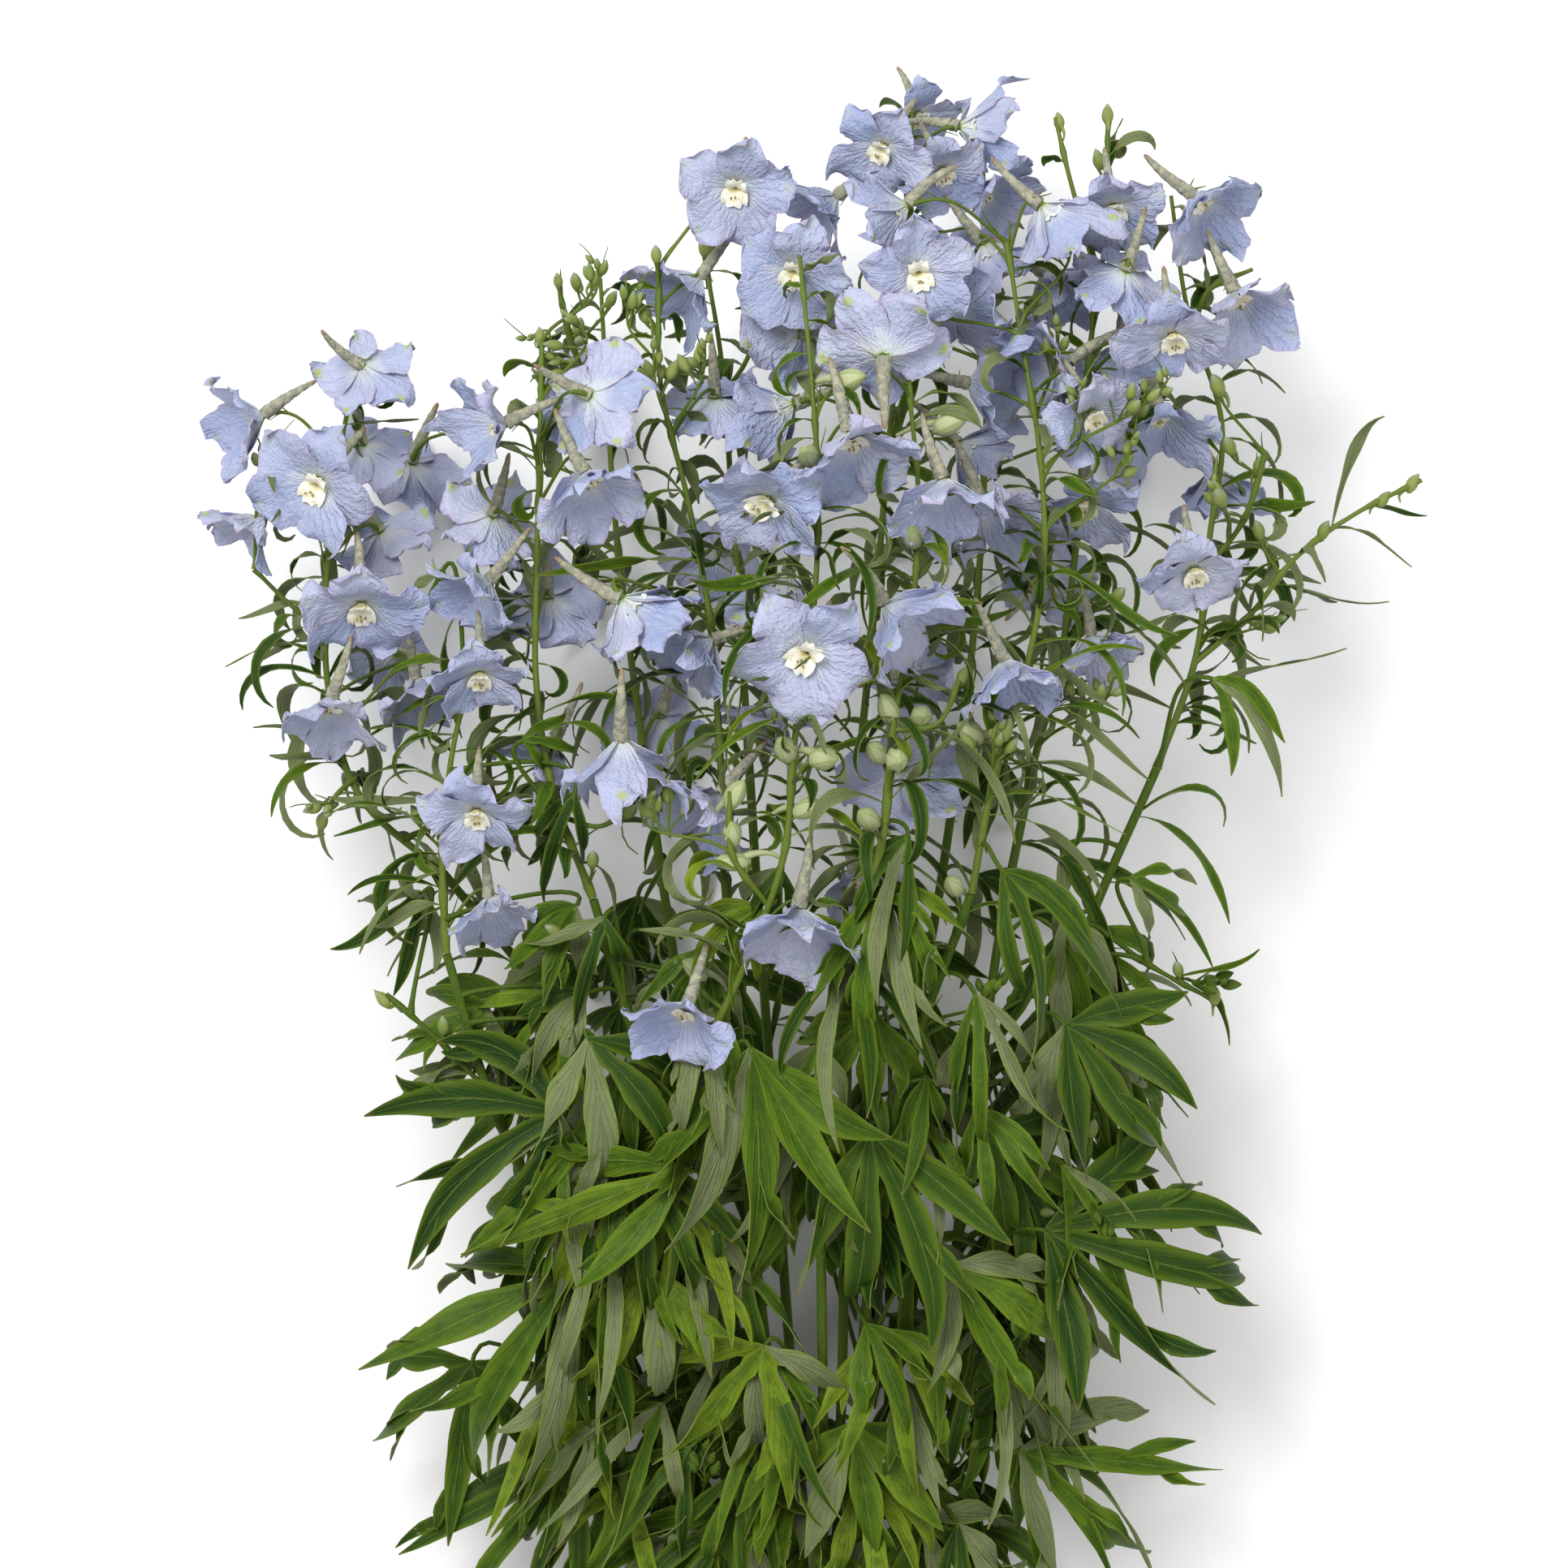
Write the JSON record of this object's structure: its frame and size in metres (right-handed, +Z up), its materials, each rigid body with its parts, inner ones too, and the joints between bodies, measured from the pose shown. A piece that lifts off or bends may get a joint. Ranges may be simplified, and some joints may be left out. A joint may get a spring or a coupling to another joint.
{
  "type": "delphinium bunch",
  "caption": "Tied bunch of cut light-blue delphinium stems with florets, buds and palmate leaves, lying on a surface.",
  "frame": {"origin": "on the surface that the bunch lies on, under the middle of its length and width", "axes": "+Y along the stems towards the flowers, +Z up from the surface towards the side on show, +X to the right of that side"},
  "size_m": [0.4829, 0.7884, 0.2173],
  "materials": {
    "petals": "soft light-blue petals with a lilac edge, satin, slightly translucent",
    "leaves": "matt green leaves and stems, paler sage underneath",
    "band": "plain tan elastic band, matt"
  },
  "bodies": {
    "root": {"spray_far_left": "petals", "spray_left_low": "petals", "spray_left_middle": "petals", "spray_left_back": "petals", "spray_middle_left": "petals", "spray_thick": "petals", "spray_spike": "petals", "spray_front": "petals", "spray_front_low": "petals", "spray_front_right": "petals", "spray_right": "petals", "spray_far_right": "petals", "spray_back": "petals", "stem_far_left": "leaves", "stem_left_low": "leaves", "stem_left_middle": "leaves", "stem_left_back": "leaves", "stem_middle_left": "leaves", "stem_thick": "leaves", "stem_spike": "leaves", "stem_front": "leaves", "stem_front_low": "leaves", "stem_front_right": "leaves", "stem_right": "leaves", "stem_far_right": "leaves", "stem_back": "leaves", "tie": "band"}
  },
  "joints": []
}
